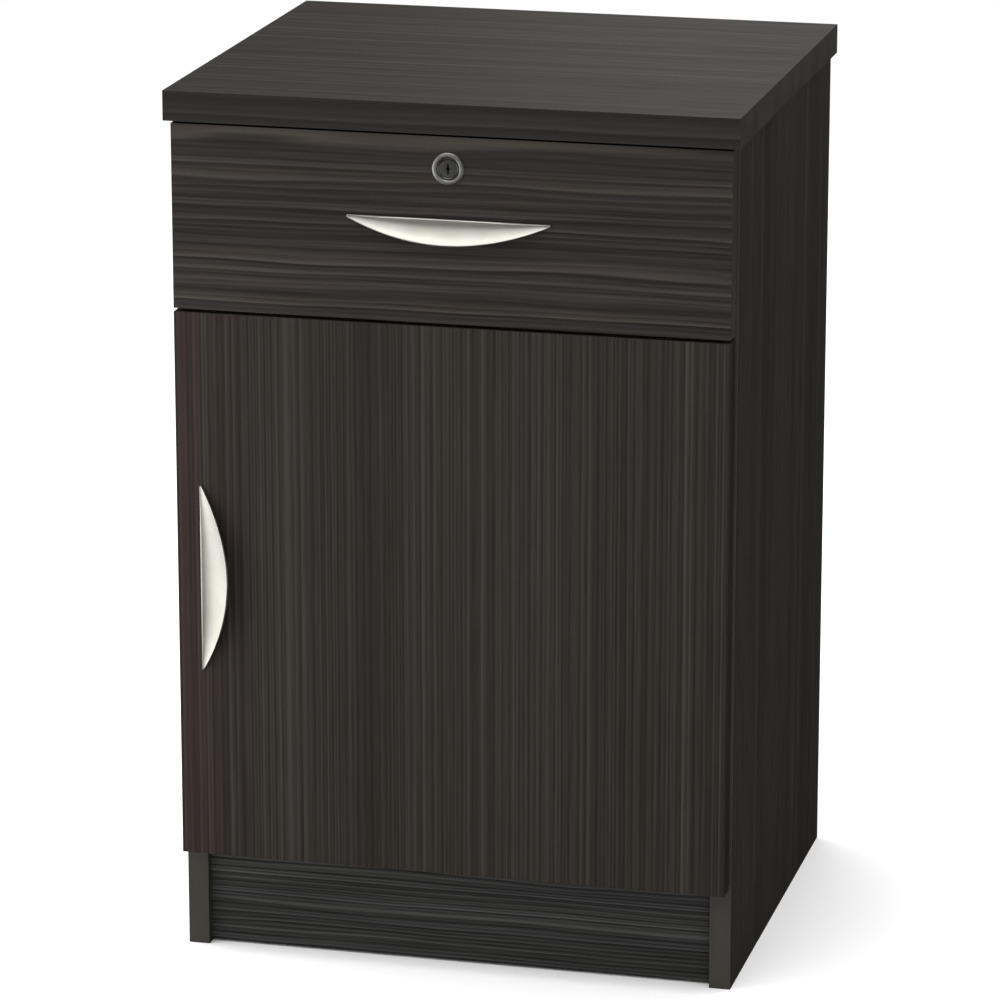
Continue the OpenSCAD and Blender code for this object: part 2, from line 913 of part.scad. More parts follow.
// How far the back of the handle stands off the face at u, and at v from 0 to 1 down its depth
function handle_standoff(u, v) = (handle_reach - handle_t) * (1 - u * u) * v * v;

// Reach of a handle's posts, which end just inside its metal
function post_reach(long, h) =
    let (u = handle_pitch / long, v = (post_drop - post_d / 2) / (handle_depth(u, h) - handle_t / 2))
        handle_standoff(u, v) + handle_t - post_short;

// One closed outline across the handle at u: down its front, round the lip and up its back
function handle_ring(u, long, h) =
    let (x = u * long / 2, run = handle_depth(u, h) - handle_t / 2, off = handle_standoff(u, 1)) [
        for (i = [0 : profile_steps])
            let (v = i / profile_steps) [x, -handle_t - handle_standoff(u, v), -run * v],
        for (a = [60, 0, -60])
            [x, -off - handle_t / 2 - sin(a) * handle_t / 2, -run - cos(a) * handle_t / 2],
        for (i = [0 : profile_steps])
            let (v = 1 - i / profile_steps) [x, -handle_standoff(u, v), -run * v]
    ];

// A curved scoop: its straight edge lies on the face and its lip stands off it, to hook fingers behind
module handle_shell(long, h) {
    ring_n = 2 * (profile_steps + 1) + 3;
    tip_mid = [long / 2, -handle_t / 2, -handle_tip_h / 2];
    points = [for (k = [0 : handle_steps]) each handle_ring(2 * k / handle_steps - 1, long, h)];
    low_tip = len(points);
    skin = [
        for (k = [0 : handle_steps - 1])
            for (i = [0 : ring_n - 1])
                let (j = (i + 1) % ring_n, here = k * ring_n, next = here + ring_n)
                    each [[here + i, next + i, next + j], [here + i, next + j, here + j]]
    ];
    caps = [
        for (i = [0 : ring_n - 1])
            let (j = (i + 1) % ring_n, last = handle_steps * ring_n)
                each [[low_tip, i, j], [low_tip + 1, last + j, last + i]]
    ];
    polyhedron(
        concat(points, [[-tip_mid[0], tip_mid[1], tip_mid[2]], tip_mid]),
        concat(skin, caps)
    );
}

// A handle with its straight edge along X at z = 0 and the face behind it at y = 0
module handle(long, h) {
    reach = post_reach(long, h);
    difference() {
        union() {
            handle_shell(long, h);
            for (x = [-handle_pitch / 2, handle_pitch / 2])
                bar_y(x, -reach, -post_drop, post_d, reach);
        }
        for (x = [-handle_pitch / 2, handle_pitch / 2])
            bar_y(x, -thread_depth, -post_drop, handle_screw_d, thread_depth + 1);
    }
}

// A handle's screws through a thickness of wood, in the handle's own place
module handle_screws(wood) {
    for (x = [-handle_pitch / 2, handle_pitch / 2])
        translate([x, wood, -post_drop])
            rotate([-90, 0, 0])
                pan_screw(handle_screw_d, wood + thread_depth, handle_screw_head, handle_screw_head_h);
}

module drawer_handle() {
    color(satin_metal) translate([0, front_y, handle_z]) handle(drawer_handle_len, drawer_handle_h);
}

module drawer_handle_screws() {
    color(plain_steel) translate([0, front_y, handle_z]) handle_screws(board_t + box_t);
}

// Children made as a drawer handle, stood upright on the door
module on_door() {
    translate([door_handle_x, front_y, door_handle_z]) rotate([0, -90, 0]) children();
}

module door_handle() {
    color(satin_metal) on_door() handle(door_handle_len, door_handle_h);
}

module door_handle_screws() {
    color(plain_steel) on_door() handle_screws(board_t);
}

// ---- Lock ----

// A bar along the lock's axis, from y0
module lock_bar(y0, d, len) {
    bar_y(0, y0, lock_z, d, len);
}

module lock_housing() {
    color(satin_metal)
        difference() {
            union() {
                lock_bar(front_y, lock_body_d, board_t + lock_rear);
                translate([0, front_y, lock_z])
                    rotate([90, 0, 0])
                        cylinder(d1 = lock_rim_d, d2 = lock_rim_d - 2, h = lock_rim_t);
            }
            lock_bar(front_y - lock_rim_t - 1, lock_barrel_d + 2 * barrel_play,
                     board_t + lock_rear + lock_rim_t + 2);
        }
}

module lock_nut() {
    color(plain_steel)
        translate([0, front_back_y, lock_z])
            rotate([-90, 0, 0])
                difference() {
                    rotate([0, 0, 30]) cylinder(d = nut_af / cos(30), h = nut_t, $fn = 6);
                    translate([0, 0, -1]) cylinder(d = lock_body_d, h = nut_t + 2);
                }
}

// The square tail of the barrel, or the hole for it
module tail(y0, len) {
    translate([-tail_w / 2, y0, lock_z - tail_w / 2]) cube([tail_w, len, tail_w]);
}

module lock_barrel() {
    face_y = front_y - barrel_proud;
    color(satin_metal)
        difference() {
            union() {
                lock_bar(face_y, lock_barrel_d, lock_rear_y + barrel_end - face_y);
                tail(lock_rear_y, cam_gap + lock_cam_t);
            }
            for (cut = [key_slot, key_guide])
                translate([-cut[0] / 2, face_y - 1, lock_z - cut[1] / 2]) cube([cut[0], board_t, cut[1]]);
            lock_bar(lock_rear_y - cam_screw_grip, cam_screw_d, cam_screw_grip + cam_gap + lock_cam_t + 1);
        }
}

module lock_cam() {
    color(plain_steel)
        difference() {
            union() {
                lock_bar(cam_y, lock_cam_w + 1, lock_cam_t);
                translate([-cam_reach, cam_y, lock_z - lock_cam_w / 2])
                    cube([cam_reach, lock_cam_t, lock_cam_w]);
            }
            tail(cam_y - 1, lock_cam_t + 2);
        }
}

module lock_cam_screw() {
    color(plain_steel)
        translate([0, cam_y + lock_cam_t, lock_z])
            rotate([-90, 0, 0])
                pan_screw(cam_screw_d, cam_gap + lock_cam_t + cam_screw_grip,
                          cam_screw_head, cam_screw_head_h);
}

module lock_strike() {
    color(plain_steel)
        difference() {
            board([strike_x - strike_w / 2, strike_y, top_rail_z], [strike_w, strike_d, strike_t]);
            lock_slot(top_rail_z - 1, slot_top);
            for (x = strike_screw_xs)
                translate([x, strike_y + strike_d / 2, top_rail_z])
                    rotate([180, 0, 0]) sunk_shape(back_screw_d, runner_screw_len, back_screw_head);
        }
}

module lock_strike_screws() {
    color(plain_steel)
        for (x = strike_screw_xs)
            translate([x, strike_y + strike_d / 2, top_rail_z])
                rotate([180, 0, 0]) sunk_screw(back_screw_d, runner_screw_len, back_screw_head);
}

// ---- Door and hinges ----

module door_panel() {
    color(laminate)
        difference() {
            board([-front_w / 2, front_y, door_base], [front_w, board_t, door_h]);
            for (z = hinge_zs) {
                bar_y(cup_x, front_back_y - cup_depth, z, cup_d, cup_depth + 1);
                for (dz = [-cup_screw_z, cup_screw_z])
                    bar_y(cup_screw_x, front_back_y - cup_screw_len + flange_t, z + dz, cup_screw_d,
                          cup_screw_len);
            }
            on_door()
                for (x = [-handle_pitch / 2, handle_pitch / 2])
                    bar_y(x, -1, -post_drop, handle_screw_d, board_t + 2);
        }
}

// A flat bar of height h between two points, with a round eye at each end
module flat_bar(p, q, bar_r, eye_r, z0, h) {
    run = q - p;
    inset = eye_r * 0.6;
    for (end = [p, q])
        translate([end[0], end[1], z0]) cylinder(r = eye_r, h = h);
    translate([p[0], p[1], z0])
        rotate([0, 0, atan2(run[1], run[0])])
            translate([inset, -bar_r, 0]) cube([norm(run) - 2 * inset, 2 * bar_r, h]);
}

arm_pin = [arm_pin_x, arm_pin_y];
cup_pin = [cup_pin_x, cup_pin_y];
fork_half = link_h / 2 + ear_gap + ear_t;
fork_gap = link_h / 2 + ear_gap;

// The plate on the side panel that carries one hinge arm
module hinge_plate(z) {
    difference() {
        board([inner_x - plate_t, plate_y, z - plate_h / 2], [plate_t, plate_d, plate_h]);
        for (dz = [-plate_screw_z, plate_screw_z])
            bar_x(inner_x - plate_t - 1, plate_y + plate_d / 2, z + dz, plate_screw_d, plate_t + 2);
        bar_x(inner_x - plate_t - 1, plate_y + plate_d / 2, z, plate_screw_d, plate_t + 0.5);
    }
}

module hinge_plates() {
    color(plain_steel)
        for (z = hinge_zs)
            hinge_plate(z);
}

module hinge_plate_screws() {
    color(plain_steel)
        for (z = hinge_zs)
            for (dz = [-plate_screw_z, plate_screw_z])
                translate([inner_x - plate_t, plate_y + plate_d / 2, z + dz])
                    rotate([0, -90, 0])
                        pan_screw(plate_screw_d, plate_screw_len, plate_screw_head, plate_screw_head_h);
}

// One hinge arm: a bar along the plate, then a fork that reaches in to its pin
module hinge_arm(z) {
    low_x = inner_x - plate_t - arm_t;
    elbow = [low_x + arm_t / 2, arm_y];
    difference() {
        union() {
            board([low_x, arm_y - arm_t / 2, z - fork_half], [arm_t, arm_d + arm_t / 2, 2 * fork_half]);
            flat_bar(elbow, arm_pin, link_r, link_eye_r, z - fork_half, 2 * fork_half);
        }
        translate([arm_pin_x, arm_pin_y, z - fork_gap]) cylinder(r = fork_r, h = 2 * fork_gap);
        translate([arm_pin_x, arm_pin_y, z - fork_half - 1])
            cylinder(d = hinge_pin_d, h = 2 * fork_half + 2);
        bar_x(low_x - 1, plate_y + plate_d / 2, z, plate_screw_d, arm_t + 2);
    }
}

module hinge_arm_upper() {
    color(plain_steel) hinge_arm(hinge_zs[1]);
}

module hinge_arm_lower() {
    color(plain_steel) hinge_arm(hinge_zs[0]);
}

module hinge_arm_screws() {
    color(plain_steel)
        for (z = hinge_zs)
            translate([inner_x - plate_t - arm_t, plate_y + plate_d / 2, z])
                rotate([0, -90, 0])
                    pan_screw(plate_screw_d, arm_t + plate_t - 1, plate_screw_head, plate_screw_head_h);
}

// A pin along Z through one hinge at the given point
module hinge_pin(p, z) {
    translate([p[0], p[1], z - fork_half]) cylinder(d = hinge_pin_d, h = 2 * fork_half);
}

module hinge_arm_pins() {
    color(plain_steel)
        for (z = hinge_zs)
            hinge_pin(arm_pin, z);
}

module hinge_cup_pins() {
    color(plain_steel)
        for (z = hinge_zs)
            hinge_pin(cup_pin, z);
}

// One link, between the arm's pin and the cup's pin
module hinge_link(z) {
    difference() {
        flat_bar(arm_pin, cup_pin, link_r, link_eye_r, z - link_h / 2, link_h);
        for (p = [arm_pin, cup_pin])
            translate([p[0], p[1], z - link_h]) cylinder(d = hinge_pin_d + 2 * pin_play, h = 2 * link_h);
    }
}

module hinge_link_upper() {
    color(plain_steel) hinge_link(hinge_zs[1]);
}

module hinge_link_lower() {
    color(plain_steel) hinge_link(hinge_zs[0]);
}

// One cup: a pot let into the door, its flange on the back face and two ears for the pin
module hinge_cup(z) {
    floor_y = front_back_y - cup_depth + cup_wall;
    difference() {
        union() {
            difference() {
                bar_y(cup_x, front_back_y - cup_depth, z, cup_d, cup_depth);
                bar_y(cup_x, floor_y, z, cup_d - 2 * cup_wall, cup_depth + 1);
            }
            for (dz = [-fork_half, fork_gap]) {
                translate([cup_pin_x, cup_pin_y, z + dz]) cylinder(r = link_eye_r, h = ear_t);
                board([cup_pin_x - link_eye_r, floor_y - cup_wall / 2, z + dz],
                      [2 * link_eye_r, cup_pin_y - floor_y + cup_wall / 2, ear_t]);
            }
            difference() {
                board([flange_x, front_back_y, z - flange_h / 2], [flange_w, flange_t, flange_h]);
                bar_y(cup_x, front_back_y - 1, z, cup_d - 2 * cup_wall, flange_t + 2);
            }
        }
        translate([cup_pin_x, cup_pin_y, z - fork_half - 1])
            cylinder(d = hinge_pin_d, h = 2 * fork_half + 2);
        for (dz = [-cup_screw_z, cup_screw_z])
            bar_y(cup_screw_x, front_back_y - 1, z + dz, cup_screw_d, flange_t + 2);
    }
}

module hinge_cup_upper() {
    color(plain_steel) hinge_cup(hinge_zs[1]);
}

module hinge_cup_lower() {
    color(plain_steel) hinge_cup(hinge_zs[0]);
}

module hinge_cup_screws() {
    color(plain_steel)
        for (z = hinge_zs)
            for (dz = [-cup_screw_z, cup_screw_z])
                translate([cup_screw_x, front_back_y + flange_t, z + dz])
                    rotate([-90, 0, 0])
                        pan_screw(cup_screw_d, cup_screw_len, cup_screw_head, cup_screw_head_h);
}

// ---- The nodes ----

top_panel();
side_panel_left();
side_panel_right();
side_edgings();
base_panel();
divider_rail();
top_rail_front();
top_rail_back();
back_panel();
plinth();
rear_plinth();
shelf();
shelf_pins();
cam_bolts();
cam_discs();
wood_dowels();
top_screws();
back_screws();
cabinet_runner_left();
cabinet_runner_right();
cabinet_runner_screws();
cabinet_roller_axles();
cabinet_rollers();
hinge_plates();
hinge_plate_screws();
hinge_arm_upper();
hinge_arm_lower();
hinge_arm_screws();
hinge_arm_pins();
hinge_link_upper();
hinge_link_lower();
lock_strike();
lock_strike_screws();
front_bumpers();
drawer_front();
drawer_side_left();
drawer_side_right();
drawer_inner_front();
drawer_back();
drawer_bottom();
drawer_front_screws();
drawer_handle();
drawer_handle_screws();
drawer_runner_left();
drawer_runner_right();
drawer_runner_screws();
drawer_roller_axles();
drawer_rollers();
lock_housing();
lock_nut();
lock_barrel();
lock_cam();
lock_cam_screw();
door_panel();
door_handle();
door_handle_screws();
hinge_cup_upper();
hinge_cup_lower();
hinge_cup_screws();
hinge_cup_pins();
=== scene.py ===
"""Looks for the bedside cabinet: dark woodgrain laminate boards, satin handles and a cam lock."""

import json
import math

import bmesh
import bpy
from mathutils import Matrix, Vector


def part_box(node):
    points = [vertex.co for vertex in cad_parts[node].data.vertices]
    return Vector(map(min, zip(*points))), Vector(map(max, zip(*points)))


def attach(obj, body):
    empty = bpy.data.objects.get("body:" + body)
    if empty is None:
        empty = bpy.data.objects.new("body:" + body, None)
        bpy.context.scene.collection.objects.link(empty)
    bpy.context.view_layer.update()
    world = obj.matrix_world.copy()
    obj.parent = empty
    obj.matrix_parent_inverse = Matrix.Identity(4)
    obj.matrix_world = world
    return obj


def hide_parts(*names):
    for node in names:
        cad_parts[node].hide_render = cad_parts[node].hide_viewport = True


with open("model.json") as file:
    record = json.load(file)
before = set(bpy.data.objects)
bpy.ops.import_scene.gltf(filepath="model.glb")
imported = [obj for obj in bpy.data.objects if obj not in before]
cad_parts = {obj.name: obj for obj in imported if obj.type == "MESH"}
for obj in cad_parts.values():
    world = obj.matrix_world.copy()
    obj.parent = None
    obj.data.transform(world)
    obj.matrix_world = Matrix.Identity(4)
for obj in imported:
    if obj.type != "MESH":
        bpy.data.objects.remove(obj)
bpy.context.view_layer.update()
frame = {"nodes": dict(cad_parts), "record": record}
NODES = frame["nodes"]
MM = 0.001


# ---------------------------------------------------------------- camera, light and floor

CAMERA_AT = (1.0294, -4.1625, 1.5633)
CAMERA_YAW = 13.995
CAMERA_PITCH = -15.693
CAMERA_LENS = 186.3
FLOOR_COLOUR = (0.92, 0.92, 0.92, 1)


def make_camera():
    """A long lens that looks down at the front from the cabinet's right."""
    data = bpy.data.cameras.new("camera")
    data.lens = CAMERA_LENS
    data.sensor_width = 36  # millimetres, as the lens
    data.clip_end = 60
    camera = bpy.data.objects.new("camera", data)
    camera.location = CAMERA_AT
    camera.rotation_euler = (math.radians(90 + CAMERA_PITCH), 0, math.radians(CAMERA_YAW))
    bpy.context.collection.objects.link(camera)
    bpy.context.scene.camera = camera


def area_light(name, at, aim, size, radiance):
    """A rectangular soft light of a given brightness, seen in reflections but not by the camera."""
    data = bpy.data.lights.new(name, "AREA")
    data.shape = "RECTANGLE"
    data.size, data.size_y = size
    data.energy = radiance * math.pi * size[0] * size[1]
    light = bpy.data.objects.new(name, data)
    light.location = at
    light.rotation_euler = (Vector(aim) - Vector(at)).to_track_quat("-Z", "Y").to_euler()
    light.visible_camera = False
    bpy.context.collection.objects.link(light)


def make_lights():
    """A key light and an overhead one, cards for the metal to reflect, and white surroundings."""
    middle = (0, 0, 0.4)
    lights = {
        "key": ((-0.9, -1.9, 2.7), middle, (2.6, 1.8), 1.4),
        "overhead": ((-0.2, 0.1, 2.9), (0, 0, 0.7), (2.4, 2.4), 3.4),
        "front_card": ((0.2, -2.6, 0.35), middle, (2.6, 0.6), 0.95),
        "left_card": ((-0.95, -0.3, 0.36), (-0.2, -0.2, 0.33), (1.6, 0.66), 2.7),
        "right_card": ((1.2, -0.3, 0.14), (0.24, 0, 0.14), (1.3, 0.28), 2.0),
        "back_card": ((0.4, 3.0, 1.2), middle, (2.4, 1.6), 0.8),
    }
    for name, (at, aim, size, radiance) in lights.items():
        area_light(name, at, aim, size, radiance)
    world = bpy.data.worlds.new("studio")
    world.use_nodes = True
    background = world.node_tree.nodes["Background"]
    background.inputs["Color"].default_value = (1, 1, 1, 1)
    background.inputs["Strength"].default_value = 1.0
    bpy.context.scene.world = world
    world.cycles_visibility.glossy = False
    bpy.context.scene.view_settings.view_transform = "Standard"


def make_floor():
    """A wide round sheet of pale paper, which reflections don't show."""
    count = 96
    radius = 30.0
    points = [(0, 0, 0)]
    for i in range(count):
        turn = 2 * math.pi * i / count
        points.append((radius * math.cos(turn), radius * math.sin(turn), 0))
    faces = [(0, 1 + i, 1 + (i + 1) % count) for i in range(count)]
    mesh = bpy.data.meshes.new("floor")
    mesh.from_pydata(points, [], faces)
    floor = bpy.data.objects.new("floor", mesh)
    floor.visible_glossy = False
    bpy.context.collection.objects.link(floor)
    paper = Shade("floor_paper")
    tooth = paper.noise(paper.where, (300, 300, 300), 2)
    paper.set(Base_Color=FLOOR_COLOUR, Roughness=0.95, Specular_IOR_Level=0.0)
    paper.bump(tooth, 0.02, 0.1 * MM)
    mesh.materials.append(paper.material)


# ---------------------------------------------------------------- material helpers


class Shade:
    """A new material and short calls that add and link its nodes."""

    def __init__(self, name):
        self.material = bpy.data.materials.new(name)
        self.material.use_nodes = True
        self.tree = self.material.node_tree
        self.shader = self.tree.nodes["Principled BSDF"]
        place = self.tree.nodes.new("ShaderNodeTexCoord")
        self.where = place.outputs["Object"]
        self.facing = place.outputs["Normal"]

    def link(self, value, socket):
        """Links an output to a socket, or sets the socket to a plain number or colour."""
        if isinstance(value, bpy.types.NodeSocket):
            self.tree.links.new(value, socket)
        else:
            socket.default_value = value

    def math(self, kind, a, b=0.0, clamp=False):
        node = self.tree.nodes.new("ShaderNodeMath")
        node.operation = kind
        node.use_clamp = clamp
        self.link(a, node.inputs[0])
        self.link(b, node.inputs[1])
        return node.outputs[0]

    def noise(self, vector, scale, detail=2.0, rough=0.5):
        """Noise from 0 to 1 at so many lumps a metre along each axis of the vector."""
        stretch = self.tree.nodes.new("ShaderNodeVectorMath")
        stretch.operation = "MULTIPLY"
        self.link(vector, stretch.inputs[0])
        stretch.inputs[1].default_value = scale
        node = self.tree.nodes.new("ShaderNodeTexNoise")
        node.inputs["Scale"].default_value = 1.0
        node.inputs["Detail"].default_value = detail
        node.inputs["Roughness"].default_value = rough
        self.link(stretch.outputs[0], node.inputs["Vector"])
        return node.outputs["Fac"]

    def signed(self, vector, scale, detail=2.0):
        """Noise from about -1 to 1."""
        return self.remap(self.noise(vector, scale, detail), 0.25, 0.75, -1.0, 1.0)

    def remap(self, value, low, high, new_low, new_high):
        node = self.tree.nodes.new("ShaderNodeMapRange")
        self.link(value, node.inputs["Value"])
        for key, number in zip(("From Min", "From Max", "To Min", "To Max"), (low, high, new_low, new_high)):
            node.inputs[key].default_value = number
        return node.outputs["Result"]

    def ramp(self, value, stops):
        """A colour ramp with (place, colour) stops, where a colour has three parts."""
        node = self.tree.nodes.new("ShaderNodeValToRGB")
        edge = node.color_ramp.elements
        while len(edge) < len(stops):
            edge.new(0.5)
        for element, (place, colour) in zip(edge, stops):
            element.position = place
            element.color = (*colour, 1)
        self.link(value, node.inputs["Fac"])
        return node.outputs["Color"]

    def mix(self, amount, a, b):
        node = self.tree.nodes.new("ShaderNodeMix")
        node.data_type = "RGBA"
        self.link(amount, node.inputs["Factor"])
        self.link(a, node.inputs["A"])
        self.link(b, node.inputs["B"])
        return [o for o in node.outputs if o.type == "RGBA"][0]

    def tinted(self, colour, tint):
        """The colour multiplied by a tint of three parts."""
        node = self.tree.nodes.new("ShaderNodeMix")
        node.data_type = "RGBA"
        node.blend_type = "MULTIPLY"
        node.inputs["Factor"].default_value = 1.0
        self.link(colour, node.inputs["A"])
        self.link((*tint, 1), node.inputs["B"])
        return [o for o in node.outputs if o.type == "RGBA"][0]

    def bump(self, height, strength, distance):
        node = self.tree.nodes.new("ShaderNodeBump")
        node.inputs["Strength"].default_value = strength
        node.inputs["Distance"].default_value = distance
        self.link(height, node.inputs["Height"])
        self.link(node.outputs["Normal"], self.shader.inputs["Normal"])

    def set(self, **values):
        """Sets the shader's own sockets, with underscores for spaces."""
        for key, value in values.items():
            self.link(value, self.shader.inputs[key.replace("_", " ")])


def srgb(*parts):
    """A linear colour from three display values from 0 to 255."""
    return tuple(((p / 255 + 0.055) / 1.055) ** 2.4 if p > 10 else p / 255 / 12.92 for p in parts)


# ---------------------------------------------------------------- materials

# Lightness across one stripe of the grain, from its dark line to the next one.
STRIPE = [(0.0, 0.0), (0.07, 0.25), (0.16, 1.0), (0.42, 0.55), (0.75, 0.15), (1.0, 0.0)]


def stripes(s, across, warp, pitch, seed):
    """Stripes of uneven lightness, about pitch millimetres wide, that warp moves by parts of a stripe."""
    phase = s.math("ADD", s.math("DIVIDE", across, pitch * MM), warp)
    dice = s.tree.nodes.new("ShaderNodeTexWhiteNoise")
    dice.noise_dimensions = "1D"
    s.link(s.math("ADD", s.math("FLOOR", phase), seed), dice.inputs["W"])
    own = s.remap(dice.outputs["Value"], 0, 1, 0.3, 1.0)
    profile = s.ramp(s.math("FRACT", phase), [(place, (level,) * 3) for place, level in STRIPE])
    return s.math("MULTIPLY", profile, own)


def laminate(name, grain, pitch, dark, light, seed, straight, bold, fine, warm=None, painted_side_shade=0.0):
    """Woodgrain laminate: shaded stripes about pitch millimetres wide that run along axis grain.

    The higher straight is, the less they wander. bold is their contrast, and fine is how much of it the thin
    ones have. warm tints the left edge of a board, and painted_side_shade darkens every face that doesn't
    face up: painted shade, where less of the overhead light falls.
    """
    s = Shade(name)
    split = s.tree.nodes.new("ShaderNodeSeparateXYZ")
    s.link(s.where, split.inputs[0])
    x, y, z = split.outputs
    along = x if grain == "X" else z
    across = s.math("ADD", y, z if grain == "X" else x)
    join = s.tree.nodes.new("ShaderNodeCombineXYZ")
    for value, socket in zip((along, across, seed), join.inputs):
        s.link(value, socket)
    at = join.outputs[0]

    # The stripes drift over the board, waver a little and differ in width.
    warp = s.math("MULTIPLY", s.signed(at, (1.3 / straight, 7, 1), 0), 1.5 / straight)
    waver = s.math("MULTIPLY", s.signed(at, (10 / straight, 50, 1), 1), 0.28 / straight)
    width = s.math("MULTIPLY", s.signed(at, (0.05, 33, 1), 0), 0.6)
    warp = s.math("ADD", s.math("ADD", warp, waver), width)
    wide = stripes(s, across, warp, pitch, seed)
    thin = stripes(s, across, s.math("MULTIPLY", warp, 2.1), pitch * 0.43, seed + 40)
    fade = s.remap(s.noise(at, (4.5 / straight, 40, 1), 1), 0.36, 0.56, 0.35, 1.0)
    grain_lines = s.math("MULTIPLY", s.math("MULTIPLY", wide, fade), 1.0 - fine)
    grain_lines = s.math("ADD", grain_lines, s.math("MULTIPLY", thin, fine))

    band = s.signed(at, (0.9, 14, 1), 2)
    fibre = s.signed(at, (12, 520, 1), 2)
    tone = s.math("MULTIPLY", grain_lines, bold)
    tone = s.math("ADD", tone, s.math("MULTIPLY", band, 0.1))
    tone = s.math("ADD", tone, s.math("MULTIPLY", fibre, 0.09))
    colour = s.ramp(tone, [(0.0, srgb(*dark)), (0.85, srgb(*light))])
    hue = s.remap(s.noise(at, (1.5, 150, 1), 1), 0.45, 0.6, 0.0, 0.6)
    colour = s.mix(hue, colour, s.tinted(colour, (1.0, 0.97, 0.84)))
    if warm:
        patch = s.remap(s.noise(at, (1.2, 45, 1)), 0.34, 0.55, 0.0, 1.0)
        left = s.remap(x, -0.165, -0.19, 0.0, 1.0)
        colour = s.mix(s.math("MULTIPLY", patch, left, clamp=True), colour, s.tinted(colour, warm))
    turned_to = s.tree.nodes.new("ShaderNodeSeparateXYZ")
    s.link(s.facing, turned_to.inputs[0])
    # Painted shade: faces that don't face up are mixed towards black, as if they catch less of the overhead
    # light.
    if painted_side_shade:
        upright = s.remap(turned_to.outputs["Z"], 0.1, 0.4, painted_side_shade, 0.0)
        colour = s.mix(upright, colour, s.tinted(colour, (0.0, 0.0, 0.0)))
    # The two ends of a board, across its grain, have plain strip without the stripes.
    end = s.remap(s.math("ABSOLUTE", turned_to.outputs[grain]), 0.7, 0.9, 0.0, 1.0)
    cloud = s.noise(s.where, (30, 30, 30), 2)
    strip = s.ramp(cloud, [(0.3, srgb(48, 45, 40)), (0.7, srgb(55, 52, 47))])
    colour = s.mix(end, colour, strip)
    s.set(Base_Color=colour, Roughness=s.remap(fibre, -0.5, 0.5, 0.46, 0.58), Specular_IOR_Level=0.16)
    height = s.math("ADD", s.math("MULTIPLY", grain_lines, 0.6), s.math("MULTIPLY", fibre, 0.3))
    s.bump(height, 0.2, 0.2 * MM)
    return s.material


def edging():
    """Plain olive-grey edging strip with a very fine orange-peel."""
    s = Shade("edge_strip")
    peel = s.noise(s.where, (900, 900, 500), 2)
    cloud = s.noise(s.where, (30, 30, 6), 2)
    s.set(Base_Color=s.ramp(cloud, [(0.3, srgb(50, 47, 41)), (0.7, srgb(57, 54, 48))]))
    s.set(Roughness=s.remap(peel, 0.3, 0.7, 0.45, 0.55), Specular_IOR_Level=0.3)
    s.bump(peel, 0.1, 0.1 * MM)
    return s.material


def chipboard():
    """Raw particle board: packed flakes in several browns."""
    s = Shade("raw_board")
    cells = s.tree.nodes.new("ShaderNodeTexVoronoi")
    cells.inputs["Scale"].default_value = 420
    s.link(s.where, cells.inputs["Vector"])
    flake = s.noise(s.where, (350, 350, 900), 3, 0.7)
    tone = s.math("ADD", s.math("MULTIPLY", cells.outputs["Distance"], 0.5), s.math("MULTIPLY", flake, 0.7))
    browns = [(0.2, srgb(120, 92, 58)), (0.5, srgb(176, 146, 104)), (0.9, srgb(206, 182, 142))]
    s.set(Base_Color=s.ramp(tone, browns), Roughness=0.85)
    s.bump(tone, 0.4, 0.3 * MM)
    return s.material


def foil_board():
    """White foil-faced board with a fine satin print."""
    s = Shade("white_board")
    print_ = s.noise(s.where, (60, 60, 700), 3)
    s.set(Base_Color=s.ramp(print_, [(0.3, srgb(206, 206, 202)), (0.7, srgb(216, 216, 212))]))
    s.set(Roughness=s.remap(print_, 0.3, 0.7, 0.42, 0.5))
    s.bump(print_, 0.08, 0.1 * MM)
    return s.material


def coated_steel():
    """White epoxy-coated runner steel."""
    s = Shade("white_steel")
    peel = s.noise(s.where, (500, 500, 500), 2)
    s.set(Base_Color=s.ramp(peel, [(0.3, srgb(212, 212, 208)), (0.7, srgb(222, 222, 219))]))
    s.set(Roughness=s.remap(peel, 0.3, 0.7, 0.3, 0.4))
    s.bump(peel, 0.12, 0.1 * MM)
    return s.material


def nylon():
    """Off-white moulded nylon."""
    s = Shade("roller_nylon")
    cloud = s.noise(s.where, (220, 220, 220), 3)
    s.set(Base_Color=s.ramp(cloud, [(0.3, srgb(214, 213, 206)), (0.7, srgb(228, 227, 221))]))
    s.set(Roughness=s.remap(cloud, 0.3, 0.7, 0.35, 0.5), Subsurface_Weight=0.05)
    s.bump(cloud, 0.08, 0.1 * MM)
    return s.material


def beech():
    """Bare beech dowel."""
    s = Shade("beech")
    fibre = s.noise(s.where, (60, 900, 900), 3, 0.7)
    s.set(Base_Color=s.ramp(fibre, [(0.3, srgb(186, 150, 104)), (0.7, srgb(212, 180, 136))]), Roughness=0.75)
    s.bump(fibre, 0.3, 0.2 * MM)
    return s.material


def metal(name, low, high, rough, stretch):
    """Brushed or plated metal; stretch is the brushing's lumps a metre along each axis."""
    s = Shade(name)
    brush = s.noise(s.where, stretch, 3, 0.65)
    cloud = s.noise(s.where, (45, 45, 45), 2)
    s.set(Base_Color=s.ramp(cloud, [(0.3, srgb(*low)), (0.7, srgb(*high))]), Metallic=1.0)
    s.set(Roughness=s.remap(brush, 0.25, 0.75, rough - 0.05, rough + 0.06))
    s.bump(brush, 0.06, 0.05 * MM)
    return s.material


def soft_clear():
    """Clear soft plastic of the bumper dots."""
    s = Shade("clear_rubber")
    cloud = s.noise(s.where, (300, 300, 300), 2)
    s.set(Base_Color=s.ramp(cloud, [(0.3, srgb(196, 200, 200)), (0.7, srgb(214, 218, 218))]))
    s.set(Roughness=0.25, Transmission_Weight=0.6, IOR=1.48)
    s.bump(cloud, 0.05, 0.1 * MM)
    return s.material


REDDISH = (1.14, 0.88, 0.94)
SATIN = ((188, 186, 178), (200, 198, 190), 0.42)


